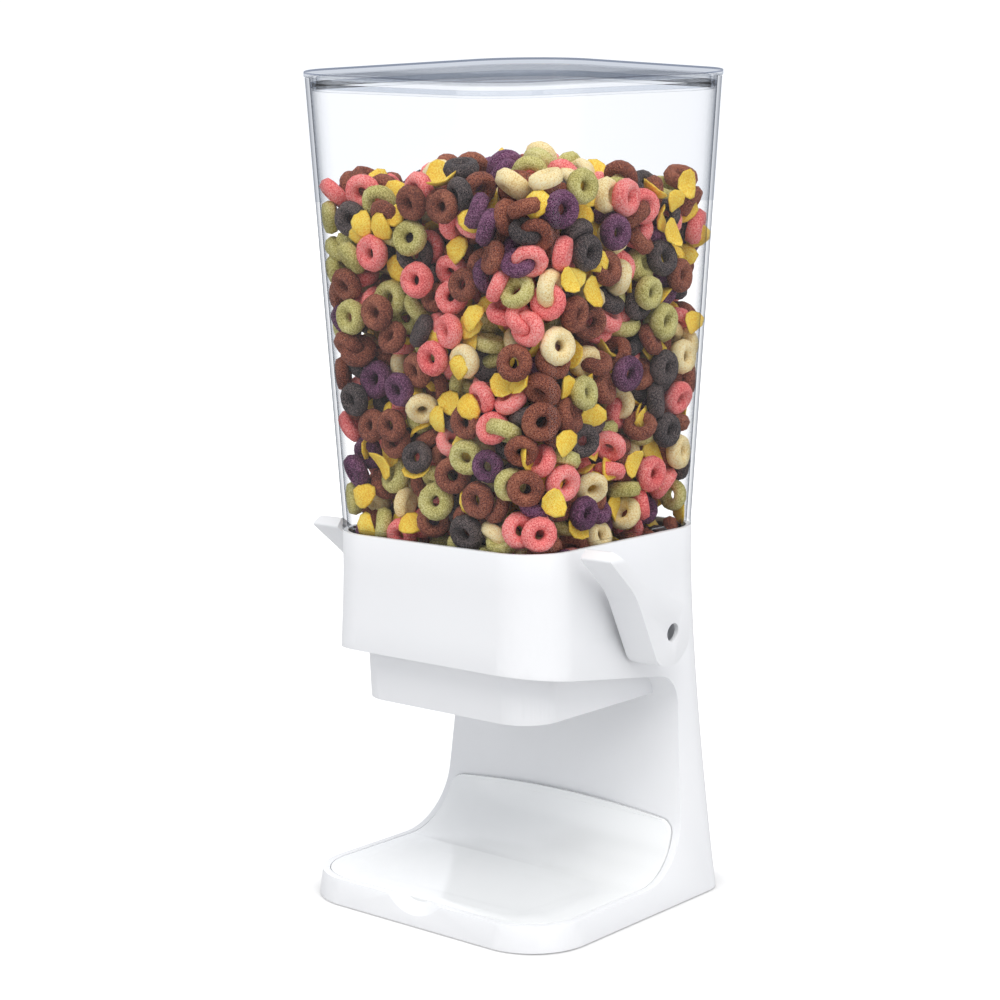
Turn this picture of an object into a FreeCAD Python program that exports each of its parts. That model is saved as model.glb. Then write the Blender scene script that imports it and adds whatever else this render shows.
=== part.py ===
import FreeCAD, Part
import math
import os

# Cereal dispenser: a clear hopper on a white C-shaped stand. Two side levers turn one
# cross shaft, which drops a spring-closed flap under the hopper's funnel.
# Millimetres. Origin: on the floor under the hopper's centre line. +Z up, -Y is the front.

V = FreeCAD.Vector

# ---- driving dimensions ----
height = 400.0                  # floor to the top of the lid
clear = 0.3                     # gap kept between pieces that lift off or move

foot_height = 0.8               # rubber feet stand this much proud of the base
wall = 2.6                      # moulded wall of the stand

# the stand's outside, flush with the hopper's flange above and flared to the base below
body_half = 67.45
body_radius = 24.7
flare_top = 165.0               # the outside is straight above this height
flare_side = 11.8
flare_front = 12.4
flare_rear = -1.0
flare_power = 1.5
base_front_radius = 30.4
base_rear_radius = 15.0
body_top = 181.7

# the open space for a bowl, seen from the side
base_top = 13.0
column_front = 32.0             # at column_mark height
column_mark = 43.0
column_lean = 3.5 / 52.0        # backwards per millimetre of height
roof_front = 125.5              # housing's lower edge at the front face
roof_slope = 0.1438             # it falls towards the column
cove_radius = 32.0
roof_radius = 15.0
floor_wall = 3.2                # floor of the housing
column_wall = 2.8
base_ceiling = 7.2              # underside of the base's top wall

# catch tray
tray_depth = 3.6
tray_lip = 2.1                  # thickness of the lip that rises in front of the column
tray_inset = 3.6
tray_arch_top = 46.4            # corner point under which the arched lip is rounded
tray_arch_side = 39.4
tray_recess = 1.3
tray_side_low = 76.5            # half widths of its front view
tray_side_high = 70.9
tray_corner = 8.0
tray_arch_radius = 600.0
recess_half = 52.0              # floor of the shallow recess
recess_front = -60.0
recess_rear = -10.0
recess_radius = 14.0
recess_slope = 8.0              # how far its edge runs out

# hopper and lid
flange_top = 183.3
flange_bottom = 182.0
hopper_wall = 2.0
hopper_top_half = 80.75
hopper_top_radius = 35.6
hopper_step = 0.3               # the wall stands this far inside the flange's edge
skirt_outer = 64.4
skirt_outer_radius = 21.6
skirt_bottom = 176.0
seal_thickness = 0.35
hopper_seal_low = 177.5
hopper_seal_width = 2.2
lid_thickness = 2.7
lid_bottom = height - lid_thickness
rim_top = lid_bottom - clear
plug_depth = 9.1
plug_bottom = height - plug_depth
plug_half = 76.9
plug_radius = 31.75
plug_wall = 1.8
gasket_thickness = 0.8
gasket_low = 392.2
gasket_width = 2.6

# loose cereal
cereal_gap = 0.8                # to the funnel
cereal_inset = 3.2              # hopper's outside to the cereal
cereal_bottom = 148.5
cereal_level = 338.0            # where the cereal meets the wall
heap_top = 352.0
heap_half = 52.0
heap_radius = 26.0

# dispensing gate
pivot_y = 5.0
pivot_z = 139.5
shaft_radius = 3.0
running_gap = 0.05
fit_gap = 0.02
flap_half = 50.0
flap_front = -52.0
flap_bottom = 140.6
flap_top = 143.0
seal_top = 144.2
outlet_half = 46.0
outlet_front = -49.0
outlet_rear = -3.5

# outlet chute
chute_half = 57.0
chute_front = -59.45
chute_radius = 20.0
chute_bottom = 100.0
chute_draft = 1.5
chute_wall = 2.6
chute_rear = 24.0
screw_x = 60.2
screw_front_y = -44.0
screw_rear_y = 23.0
screw_radius = 1.25
screw_head_radius = 2.6
screw_head = 1.6

outlet_radius = 8.0
funnel_skin = 2.0
funnel_throat = 147.5           # the outlet is straight up to here
funnel_mouth_half = 62.3
funnel_mouth_radius = 20.0
funnel_mouth_low = 171.0
funnel_mouth_top = 175.0
funnel_leg_radius = 3.0
chute_flange = 2.0              # thickness, on the housing's floor
chute_flange_half = 63.4
chute_flange_rear = 25.6
chute_passage_rear = 20.0

# torsion springs
spring_wire = 0.45              # radius
spring_coil = 4.7
spring_turns = 6
spring_pitch = 1.75
spring_start = 49.2             # first coil, from the middle
spring_front = 22.0             # reach of the leg under the flap
spring_low = 124.0              # lower end of the other leg
spring_gap = 0.05

# rear cover, base plate, screws and feet
cover_low = 20.0
cover_high = 156.0
cover_half = 48.0
cover_corner = 6.0
cover_thickness = 2.4
cover_inside = 50.0             # the cover window is cut behind this plane
cover_boss_radius = 4.0
cover_rib = 1.2                 # half thickness
base_boss_radius = 3.6
base_boss_front = 7.6           # top of the front bosses
base_boss_rear = 11.2
pilot_play = 0.05
hole_play = 0.15
head_play = 0.3
small_head = 1.1                # head height of the cover's and base's screws
plate_thickness = 2.2
foot_radius = 6.8
foot_recess = 1.2
foot_edge = 0.4

# thumb scoop in the front rim
scoop_radius = 39.9
scoop_y = -109.4
scoop_z = 31.9

# shaft ends, bushes and lever hubs
shaft_end = 76.0
shaft_flat = 2.2                # from the axis to the flat on each end
flat_length = 5.0
bush_radius = 4.6
bush_flange_radius = 5.0
bush_inner = 63.4
bush_flange = 1.8
bush_outer = 68.9
hub_radius = 7.0
hub_inner = 69.4
hub_outer = 80.0
hub_screw_head_radius = 3.8
hub_screw_head = 2.0
hub_screw_recess = 1.3          # end of the shaft to the underside of the screw's head
hub_screw_shank = 9.0
hub_screw_slot = 1.0

big = 130.0                     # reach of cutting shapes past the object


# ---- shared shapes ----
def rounded_rect(half, front, rear, r_front, r_rear, z):
    """Closed level wire, symmetric about X = 0, with its own front and rear corner radii."""
    lean = 1.0 - math.sqrt(0.5)
    lines = [
        (V(-half + r_front, front, z), V(half - r_front, front, z)),
        (V(half, front + r_front, z), V(half, rear - r_rear, z)),
        (V(half - r_rear, rear, z), V(-half + r_rear, rear, z)),
        (V(-half, rear - r_rear, z), V(-half, front + r_front, z)),
    ]
    middles = [
        V(half - lean * r_front, front + lean * r_front, z),
        V(half - lean * r_rear, rear - lean * r_rear, z),
        V(-half + lean * r_rear, rear - lean * r_rear, z),
        V(-half + lean * r_front, front + lean * r_front, z),
    ]
    edges = []
    for i, (start, end) in enumerate(lines):
        edges.append(Part.LineSegment(start, end).toShape())
        edges.append(Part.Arc(end, middles[i], lines[(i + 1) % 4][0]).toShape())
    return Part.Wire(edges)


def square(half, radius, z):
    return rounded_rect(half, -half, half, radius, radius, z)


def upright(wire, rise):
    return Part.Face(wire).extrude(V(0, 0, rise))


def rounded_outline(corners, radii, place):
    """Closed wire through the corners, each rounded to its radius; place(u, v) gives a point."""
    arcs = []
    for i, corner in enumerate(corners):
        here = V(*corner, 0)
        back = (V(*corners[i - 1], 0) - here).normalize()
        ahead = (V(*corners[(i + 1) % len(corners)], 0) - here).normalize()
        half_angle = back.getAngle(ahead) / 2
        inward = (back + ahead).normalize()
        reach = radii[i] / math.tan(half_angle)
        middle = here + inward * (radii[i] / math.sin(half_angle) - radii[i])
        arcs.append([here + back * reach, middle, here + ahead * reach])
    edges = []
    for i, (start, middle, end) in enumerate(arcs):
        if radii[i] > 0:
            edges.append(Part.Arc(*[place(p.x, p.y) for p in (start, middle, end)]).toShape())
        onward = arcs[(i + 1) % len(arcs)][0]
        edges.append(Part.LineSegment(place(end.x, end.y), place(onward.x, onward.y)).toShape())
    return Part.Wire(edges)


def side_prism(corners, radii, x_low, x_high):
    """Side-view outline, (y, z) corners, extruded along X."""
    wire = rounded_outline(corners, radii, lambda y, z: V(x_low, y, z))
    return Part.Face(wire).extrude(V(x_high - x_low, 0, 0))


def front_prism(corners, radii):
    """Front-view outline, (x, z) corners, extruded along Y through the whole object."""
    wire = rounded_outline(corners, radii, lambda x, z: V(x, -big, z))
    return Part.Face(wire).extrude(V(0, 2 * big, 0))


def rod(radius, x_low, x_high, y, z):
    return Part.makeCylinder(radius, x_high - x_low, V(x_low, y, z), V(1, 0, 0))


def post(radius, x, y, z_low, z_high):
    return Part.makeCylinder(radius, z_high - z_low, V(x, y, z_low))


def block(x, y, z):
    """Box from (low, high) pairs."""
    size = [pair[1] - pair[0] for pair in (x, y, z)]
    return Part.makeBox(*size, V(x[0], y[0], z[0]))


def mirrored(shape):
    return shape.mirror(V(0, 0, 0), V(1, 0, 0))


def screw(head, shank_length):
    """Pan-head screw pointing along +Z from the origin, head below."""
    body = Part.makeCylinder(screw_head_radius, head)
    shank = Part.makeCylinder(screw_radius, shank_length, V(0, 0, head))
    cross = Part.makeBox(3.2, 0.8, 0.8, V(-1.6, -0.4, 0))
    cross = cross.fuse(Part.makeBox(0.8, 3.2, 0.8, V(-0.4, -1.6, 0)))
    return body.fuse(shank).cut(cross)


# ---- the stand's outside and the bowl space ----
def flare(z):
    return max(0.0, (flare_top - z) / flare_top) ** flare_power


def stand_outline(inset, z):
    k = flare(z)
    return rounded_rect(
        body_half + flare_side * k - inset,
        -body_half - flare_front * k + inset,
        body_half + flare_rear * k - inset,
        body_radius + (base_front_radius - body_radius) * k - inset,
        body_radius + (base_rear_radius - body_radius) * k - inset,
        z,
    )


def stand_volume(inset, z_low, z_high):
    """The stand's outside, moved in by inset: flared below flare_top, straight above it."""
    top = min(z_high, flare_top)
    steps = 4
    heights = [z_low + (top - z_low) * i / steps for i in range(steps + 1)]
    volume = Part.makeLoft([stand_outline(inset, z) for z in heights], True, False)
    if z_high > flare_top:
        volume = volume.fuse(upright(stand_outline(inset, flare_top), z_high - flare_top))
    return volume


def column_y(z):
    return column_front + column_lean * (z - column_mark)


def bowl_space(drop, back, lift):
    """The open space between base, column and housing, grown into them by the three amounts."""
    low = base_top - drop
    roof = roof_front - roof_slope * body_half + lift
    slope = column_lean * roof_slope
    high = (roof - roof_slope * (column_y(0) + back)) / (1 + slope)
    corners = [
        (-big, low),
        (column_y(low) + back, low),
        (column_y(high) + back, high),
        (-big, roof + roof_slope * big),
    ]
    radii = [0, cove_radius + back, max(roof_radius - lift, 4.0), 0]
    return side_prism(corners, radii, -big, big)


def tray_window(shrink):
    """Front view of the tray: flared sides and a gently arched top with rounded ends."""
    side_low = tray_side_low - shrink
    side_high = tray_side_high - shrink
    corners = [
        (-side_low, -5.0),
        (side_low, -5.0),
        (side_high, tray_arch_side - shrink),
        (0.0, tray_arch_top - shrink),
        (-side_high, tray_arch_side - shrink),
    ]
    return front_prism(corners, [0, 0, tray_corner, tray_arch_radius, tray_corner])


def roof_z(y, lift):
    return roof_front - roof_slope * (y + body_half) + lift


housing_screws_at = [(s * screw_x, y) for s in (-1, 1) for y in (screw_front_y, screw_rear_y)]
base_screws_at = [(s * 62.0, y) for s in (-1, 1) for y in (-46.0, 14.0)]
feet_at = [(s * 56.0, y) for s in (-1, 1) for y in (-60.0, 48.0)]
cover_screws_at = [(s * 40.0, z) for s in (-1, 1) for z in (30.0, 146.0)]
plate_top = foot_height + plate_thickness


def cover_window(grow):
    corners = [
        (-cover_half - grow, cover_low - grow),
        (cover_half + grow, cover_low - grow),
        (cover_half + grow, cover_high + grow),
        (-cover_half - grow, cover_high + grow),
    ]
    window = front_prism(corners, [cover_corner + grow] * 4)
    return window.common(block((-big, big), (cover_inside, big), (0, height)))


# ---- stand ----
def make_stand_shell():
    outside = stand_volume(0, foot_height, body_top).cut(bowl_space(0, 0, 0))
    hollow = stand_volume(wall, foot_height - 1, body_top + 1)
    cavity = hollow.cut(bowl_space(base_top - base_ceiling, column_wall, floor_wall))
    shell = outside.cut(cavity)
    seat = bowl_space(tray_depth, 0, 0).common(tray_window(0))
    shell = shell.cut(seat.common(stand_volume(tray_inset, foot_height, 60.0)))
    # thumb scoop in the front rim, for lifting the tray
    shell = shell.cut(Part.makeSphere(scoop_radius, V(0, scoop_y, scoop_z)))
    # opening in the housing's floor for the chute
    opening = rounded_rect(
        chute_half + 0.4, chute_front - 0.4, chute_rear + 0.4, chute_radius + 0.4, 8.4, 90.0
    )
    shell = shell.cut(upright(opening, 50.0))
    shell = shell.cut(cover_window(clear))
    # posts for the rear cover's screws run back from the column's front wall
    for x, z in cover_screws_at:
        upper = z > cover_high / 2
        end = rear_y(z) - wall - 0.2
        start = cover_inside if upper else column_y(z) + column_wall / 2
        boss = Part.makeCylinder(cover_boss_radius, end - start, V(x, start, z), V(0, 1, 0))
        if upper:
            # a rib above the window ties the upper posts to the rear wall
            across = (x - cover_rib, x + cover_rib)
            into_wall = rear_y(z) - wall / 2
            boss = boss.fuse(block(across, (cover_inside + 2, end), (z, z + 16.0)))
            boss = boss.fuse(block(across, (cover_inside + 2, into_wall), (z + 12.0, z + 16.0)))
        pilot = Part.makeCylinder(screw_radius + pilot_play, 9.0, V(x, end - 9.0, z), V(0, 1, 0))
        shell = shell.fuse(boss).cut(pilot)
    for x, y in base_screws_at:
        boss = post(base_boss_radius, x, y, plate_top, base_boss_front if y < 0 else base_boss_rear)
        shell = shell.fuse(boss).cut(post(screw_radius + pilot_play, x, y, plate_top - 1, 7.0))
    for x, y in housing_screws_at:
        low = roof_z(y, 0)
        shell = shell.cut(post(screw_radius + hole_play, x, y, low - 3, low + 8))
        shell = shell.cut(post(screw_head_radius + head_play, x, y, low - 6, low + screw_head + 0.1))
    for side in (-1, 1):
        hole = rod(bush_radius + running_gap, 60.0, 75.0, pivot_y, pivot_z)
        shell = shell.cut(hole if side > 0 else mirrored(hole))
    return shell


def rear_y(z):
    return body_half + flare_rear * flare(z)


def make_rear_cover():
    inside = stand_volume(cover_thickness, foot_height - 1, body_top + 1)
    cover = stand_volume(0, foot_height, body_top).cut(inside).common(cover_window(0))
    for x, z in cover_screws_at:
        sunk = V(x, rear_y(z) - small_head - 0.1, z)
        hole = Part.makeCylinder(screw_radius + hole_play, 20.0, V(x, 55.0, z), V(0, 1, 0))
        recess = Part.makeCylinder(screw_head_radius + head_play, 10.0, sunk, V(0, 1, 0))
        cover = cover.cut(hole).cut(recess)
    return cover


def make_rear_cover_screws():
    pieces = []
    for x, z in cover_screws_at:
        piece = screw(small_head, 8.0)
        piece.rotate(V(0, 0, 0), V(1, 0, 0), 90)
        piece.translate(V(x, rear_y(z) - 0.1, z))
        pieces.append(piece)
    return Part.Compound(pieces)


def make_base_plate():
    plate = stand_volume(wall + clear, foot_height, plate_top)
    for x, y in base_screws_at:
        plate = plate.cut(post(screw_radius + hole_play, x, y, -1, 9))
        plate = plate.cut(post(screw_head_radius + head_play, x, y, -1, foot_height + small_head + 0.1))
    for x, y in feet_at:
        plate = plate.cut(post(foot_radius + 0.2, x, y, -1, foot_height + foot_recess))
    return plate


def make_base_screws():
    pieces = []
    for x, y in base_screws_at:
        piece = screw(small_head, 4.2)
        piece.translate(V(x, y, foot_height + 0.1))
        pieces.append(piece)
    return Part.Compound(pieces)


def make_rubber_feet():
    pieces = []
    for x, y in feet_at:
        disc = post(foot_radius, x, y, 0, foot_height + foot_recess)
        disc = disc.makeFillet(foot_edge, [e for e in disc.Edges if e.BoundBox.ZMax < 0.1])
        pieces.append(disc)
    return Part.Compound(pieces)


# ---- dispensing gear ----
def make_outlet_chute():
    def tube(grow, rear, r_rear):
        top = rounded_rect(
            chute_half + grow, chute_front - grow, rear, chute_radius + grow, r_rear, 140.0
        )
        shrink = grow - chute_draft
        low = rounded_rect(
            chute_half + shrink, chute_front - shrink, rear, chute_radius + shrink, r_rear, chute_bottom
        )
        return Part.makeLoft([low, top], True, True)

    below = tube(0, 60.0, 1.0).common(bowl_space(0, 0, 0))
    to_flange_top = bowl_space(0, 0, floor_wall + chute_flange)
    neck = tube(0, chute_rear, 8.0).common(to_flange_top)
    flange = rounded_rect(chute_flange_half, -chute_flange_half, chute_flange_rear, 21.0, 6.0, 90.0)
    flange = upright(flange, 60.0).common(to_flange_top).cut(bowl_space(0, 0, floor_wall))
    chute = below.fuse(neck).fuse(flange)

    def passage(draft, z):
        inset = chute_wall + draft
        corner = chute_radius - chute_wall
        return rounded_rect(chute_half - inset, chute_front + inset, chute_passage_rear, corner, 6.0, z)

    through = Part.makeLoft([passage(chute_draft, chute_bottom - 1), passage(0, 150.0)], True, True)
    chute = chute.cut(through)
    # the rear wall is cored out in front of the column
    core = (chute_passage_rear + chute_wall, column_y(104.0) - 2.5)
    chute = chute.cut(block((-52.0, 52.0), core, (90.0, 107.0)))
    for x, y in housing_screws_at:
        chute = chute.cut(post(screw_radius + hole_play, x, y, 100, 135))
    return chute.removeSplitter()


def make_housing_screws():
    pieces = []
    for x, y in housing_screws_at:
        piece = screw(screw_head, 16.0)
        piece.translate(V(x, y, roof_z(y, 0)))
        pieces.append(piece)
    return Part.Compound(pieces)


def make_funnel():
    def bowl(grow, over):
        outlet = (outlet_half + grow, outlet_front - grow, outlet_rear + grow)
        corner = outlet_radius + grow
        sections = [
            rounded_rect(*outlet, corner, corner, seal_top + 0.4 - over),
            rounded_rect(*outlet, corner, corner, funnel_throat),
            square(funnel_mouth_half + grow, funnel_mouth_radius + grow, funnel_mouth_low),
            square(funnel_mouth_half + grow, funnel_mouth_radius + grow, funnel_mouth_top + over),
        ]
        return Part.makeLoft(sections, True, True)

    funnel = bowl(funnel_skin, 0)
    # four legs stand on the chute's sloped flange
    on_flange = floor_wall + chute_flange
    for x, y in housing_screws_at:
        funnel = funnel.fuse(post(funnel_leg_radius, x, y, roof_z(y, on_flange), funnel_mouth_low + 1))
    below = block((-big, big), (-big, screw_rear_y + 5), (0, flap_bottom))
    funnel = funnel.cut(bowl_space(0, 0, on_flange).common(below)).cut(bowl(0, 1.0))
    for x, y in housing_screws_at:
        funnel = funnel.cut(post(screw_radius + pilot_play, x, y, 100, roof_z(y, 20.0)))
    return funnel.removeSplitter()


def make_shaft_bush():
    bush = rod(bush_radius, bush_inner, bush_outer, pivot_y, pivot_z)
    bush = bush.fuse(rod(bush_flange_radius, bush_inner, bush_inner + bush_flange, pivot_y, pivot_z))
    return bush.cut(rod(shaft_radius + running_gap, 60.0, 72.0, pivot_y, pivot_z))


def make_cross_shaft():
    shaft = rod(shaft_radius, -shaft_end, shaft_end, pivot_y, pivot_z)
    for side in (-1, 1):
        from_flat = (pivot_z + shaft_flat, pivot_z + 5)
        flat = block((shaft_end - flat_length, shaft_end + 1), (0, 40.0), from_flat)
        tapped = rod(screw_radius + pilot_play, shaft_end - hub_screw_shank, shaft_end + 1, pivot_y, pivot_z)
        flat = flat.fuse(tapped)
        shaft = shaft.cut(flat if side > 0 else mirrored(flat))
    return shaft


def make_gate_flap():
    plate = rounded_rect(flap_half, flap_front, pivot_y, 6.0, 0.5, flap_bottom)
    flap = upright(plate, flap_top - flap_bottom)
    hub_half = 46.0
    beside_hub = (pivot_y - 6.5, pivot_y + 10)
    flap = flap.cut(block((-big, -hub_half), beside_hub, (130, 150)))
    flap = flap.cut(block((hub_half, big), beside_hub, (130, 150)))
    flap = flap.fuse(rod(5.5, -hub_half, hub_half, pivot_y, pivot_z))
    for x in (-34.0, -12.0, 12.0, 34.0):
        corners = [
            (flap_front + 4, flap_bottom + 0.5),
            (flap_front + 4, flap_bottom - 1.5),
            (pivot_y - 4, pivot_z - 5.0),
            (pivot_y - 2, flap_bottom + 0.5),
        ]
        flap = flap.fuse(side_prism(corners, [0] * 4, x - 0.9, x + 0.9))
    flap = flap.cut(rod(shaft_radius, -big, big, pivot_y, pivot_z))
    return flap.removeSplitter()


def make_flap_seal():
    def ring(grow, z):
        corner = outlet_radius + grow
        outline = (outlet_half + grow, outlet_front - grow, outlet_rear + grow, corner, corner)
        return rounded_rect(*outline, z)

    outer = upright(ring(1.6, flap_top), seal_top - flap_top)
    return outer.cut(upright(ring(-3.0, flap_top - 1), 4.0))


def make_torsion_spring(side):
    """Coils round the shaft, with one leg under the flap and one on a funnel leg; side is 1 or -1."""
    coils = []
    for i in range(spring_turns):
        x = side * (spring_start + spring_pitch * i)
        coils.append(Part.makeTorus(spring_coil, spring_wire, V(x, pivot_y, pivot_z), V(1, 0, 0)))
    beside = 2 * spring_wire + spring_gap
    first_x = side * (spring_start - beside)
    last_x = side * (spring_start + spring_pitch * (spring_turns - 1) + beside)
    under_flap = flap_bottom - spring_wire - spring_gap
    behind_leg = screw_rear_y - funnel_leg_radius - spring_wire - spring_gap
    legs = [
        (V(first_x, pivot_y, pivot_z - spring_coil), V(first_x, pivot_y - spring_front, under_flap)),
        (V(last_x, pivot_y, pivot_z - spring_coil), V(last_x, behind_leg, spring_low)),
    ]
    for start, tip in legs:
        coils.append(Part.makeCylinder(spring_wire, (tip - start).Length, start, tip - start))
    return Part.Compound(coils)


# ---- levers ----
lever_side = [
    (19.6, 180.0, 1.2),
    (23.6, 184.6, 1.5),
    (46.0, 167.5, 60.0),
    (86.0, 149.0, 11.0),
    (86.5, 130.5, 11.0),
    (78.0, 123.5, 6.0),
    (64.0, 123.5, 11.0),
    (41.0, 161.5, 45.0),
]                               # outline from the side: (distance behind the front face, z, radius)
lever_gap_low = 2.5             # inner face to body_half, at lever_low and lever_high
lever_gap_high = 9.4
lever_reach_low = 20.0          # outer face to body_half
lever_reach_high = 26.6
lever_low = 123.5
lever_high = 185.0
lever_wall = 2.4
hub_recess_radius = 4.4


def lever_slab(trim):
    """Front view of the right lever: it leans away from the housing towards its tip."""
    corners = [
        (body_half + lever_gap_low - trim, lever_low - 4),
        (body_half + lever_reach_low - trim, lever_low - 4),
        (body_half + lever_reach_high - trim, lever_high - trim),
        (body_half + lever_gap_high - trim, lever_high + 1),
    ]
    return front_prism(corners, [0, 0, 6.5, 0])


def make_lever():
    corners = [(y - body_half, z) for y, z, r in lever_side]
    radii = [r for y, z, r in lever_side]
    outline = rounded_outline(corners, radii, lambda y, z: V(0, y, z))
    solid = Part.Face(outline).extrude(V(big, 0, 0)).common(lever_slab(0))
    pocket = Part.Face(outline).makeOffset2D(-lever_wall).extrude(V(big, 0, 0))
    lever = solid.cut(pocket.common(lever_slab(lever_wall)))
    hub = rod(hub_radius, hub_inner, hub_outer, pivot_y, pivot_z)
    rib_corners = [(pivot_y - 2, 136.0), (pivot_y - 2, 141.0), (-30.0, 168.0), (-32.0, 163.0)]
    rib = side_prism(rib_corners, [0] * 4, hub_outer - 2, hub_outer + 8)
    lever = lever.fuse(hub).fuse(rib.common(solid))
    bore = rod(shaft_radius + fit_gap, 60.0, shaft_end + 0.1, pivot_y, pivot_z)
    above_flat = (pivot_z + shaft_flat + fit_gap, pivot_z + 5)
    key = block((shaft_end - flat_length + 0.1, shaft_end + 0.2), (0, 40.0), above_flat)
    lever = lever.cut(bore.cut(key))
    lever = lever.cut(rod(screw_radius + hole_play, 70.0, big, pivot_y, pivot_z))
    lever = lever.cut(rod(hub_recess_radius, shaft_end + hub_screw_recess, big, pivot_y, pivot_z))
    return lever


def make_lever_screws():
    """A cross-slotted screw holds each lever on its end of the shaft."""
    half = hub_screw_slot / 2
    head = Part.makeCylinder(hub_screw_head_radius, hub_screw_head)
    head = head.cut(Part.makeBox(5.0, hub_screw_slot, hub_screw_slot, V(-2.5, -half, 0)))
    head = head.cut(Part.makeBox(hub_screw_slot, 5.0, hub_screw_slot, V(-half, -2.5, 0)))
    piece = head.fuse(Part.makeCylinder(screw_radius, hub_screw_shank, V(0, 0, hub_screw_head)))
    piece.rotate(V(0, 0, 0), V(0, 1, 0), -90)
    piece.translate(V(shaft_end + hub_screw_recess + hub_screw_head, pivot_y, pivot_z))
    return Part.Compound([piece, mirrored(piece)])


# ---- catch tray ----
def make_catch_tray():
    slab = bowl_space(tray_depth - clear, -clear, 0).cut(bowl_space(0, -clear - tray_lip, 0))
    slab = slab.common(tray_window(0.5))
    tray = slab.common(stand_volume(tray_inset + 0.4, foot_height, 60.0))

    def recess(grow, z):
        corner = recess_radius + grow
        return rounded_rect(recess_half + grow, recess_front - grow, recess_rear + grow, corner, corner, z)

    edges = [recess(0, base_top - tray_recess), recess(recess_slope, base_top + 0.1)]
    return tray.cut(Part.makeLoft(edges, True, True))


# ---- hopper and lid ----
def hopper_half(z):
    """Half width of the hopper's outside at a height, up the tapered walls."""
    return body_half + (hopper_top_half - body_half) * (z - flange_top) / (height - flange_top)


def hopper_radius(z):
    return body_radius + (hopper_top_radius - body_radius) * (z - flange_top) / (height - flange_top)


def hopper_square(inset, z):
    return square(hopper_half(z) - inset, hopper_radius(z) - inset, z)


def make_hopper():
    step = hopper_step
    outside = Part.makeLoft([hopper_square(step, flange_bottom), hopper_square(step, rim_top)], True, True)
    flange = upright(square(body_half, body_radius, flange_bottom), flange_top - flange_bottom)
    skirt = upright(square(skirt_outer, skirt_outer_radius, skirt_bottom), flange_top - skirt_bottom)
    inset = step + hopper_wall
    inside = Part.makeLoft([hopper_square(inset, flange_top), hopper_square(inset, height + 5)], True, True)
    throat = square(skirt_outer - hopper_wall, skirt_outer_radius - hopper_wall, skirt_bottom - 1)
    throat = upright(throat, flange_top - skirt_bottom + 1)
    hopper = outside.fuse(flange).fuse(skirt)
    return hopper.cut(inside.fuse(throat)).removeSplitter()


def make_hopper_seal():
    ring = square(skirt_outer + seal_thickness, skirt_outer_radius + seal_thickness, hopper_seal_low)
    ring = upright(ring, hopper_seal_width)
    return ring.cut(upright(square(skirt_outer, skirt_outer_radius, hopper_seal_low - 1), 4.0))


def make_lid():
    plate = upright(square(hopper_top_half, hopper_top_radius, lid_bottom), lid_thickness)
    plug = upright(square(plug_half, plug_radius, plug_bottom), lid_bottom - plug_bottom + 1)
    well = square(plug_half - plug_wall, plug_radius - plug_wall, plug_bottom - 1)
    well = upright(well, lid_bottom - plug_bottom + 1)
    return plate.fuse(plug).cut(well).removeSplitter()


def make_lid_gasket():
    ring = square(plug_half + gasket_thickness, plug_radius + gasket_thickness, gasket_low)
    ring = upright(ring, gasket_width)
    return ring.cut(upright(square(plug_half, plug_radius, gasket_low - 1), gasket_width + 2))


def make_cereal_fill():
    """Bulk of the loose cereal: it fills the funnel and the hopper to a low heap."""
    mouth = funnel_mouth_half - 0.9 - cereal_gap
    mouth_radius = funnel_mouth_radius - 1.0
    skirt_pass = flange_top + 0.7
    corner = outlet_radius - cereal_gap
    outlet = rounded_rect(
        outlet_half - cereal_gap,
        outlet_front + cereal_gap,
        outlet_rear - cereal_gap,
        corner,
        corner,
        cereal_bottom,
    )
    lower = Part.makeLoft(
        [outlet, square(mouth, mouth_radius, funnel_mouth_low), square(mouth, mouth_radius, skirt_pass)],
        True,
        True,
    )
    level = hopper_square(cereal_inset, cereal_level)
    middle = Part.makeLoft([hopper_square(cereal_inset, skirt_pass), level], True, True)
    heap = Part.makeLoft([level, square(heap_half, heap_radius, heap_top)], True, True)
    return lower.fuse(middle).fuse(heap).removeSplitter()


# ---- write every piece ----
os.makedirs("parts", exist_ok=True)
bush = make_shaft_bush()
lever = make_lever()
pieces = {
    "stand_shell": make_stand_shell(),
    "rear_cover": make_rear_cover(),
    "rear_cover_screws": make_rear_cover_screws(),
    "base_plate": make_base_plate(),
    "base_screws": make_base_screws(),
    "rubber_feet": make_rubber_feet(),
    "outlet_chute": make_outlet_chute(),
    "housing_screws": make_housing_screws(),
    "funnel": make_funnel(),
    "shaft_bush_right": bush,
    "shaft_bush_left": mirrored(bush),
    "torsion_spring_right": make_torsion_spring(1),
    "torsion_spring_left": make_torsion_spring(-1),
    "cross_shaft": make_cross_shaft(),
    "gate_flap": make_gate_flap(),
    "flap_seal": make_flap_seal(),
    "lever_right": lever,
    "lever_left": mirrored(lever),
    "lever_screws": make_lever_screws(),
    "catch_tray": make_catch_tray(),
    "hopper": make_hopper(),
    "hopper_seal": make_hopper_seal(),
    "lid": make_lid(),
    "lid_gasket": make_lid_gasket(),
    "cereal_fill": make_cereal_fill(),
}
for name, shape in pieces.items():
    shape.exportStep("parts/" + name + ".step")
    print(name, shape.isValid(), len(shape.Solids), round(shape.Volume / 1000, 2), "cm3")
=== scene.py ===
import math

import bmesh
import bpy
import numpy as np
from mathutils import Matrix, Vector


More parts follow.
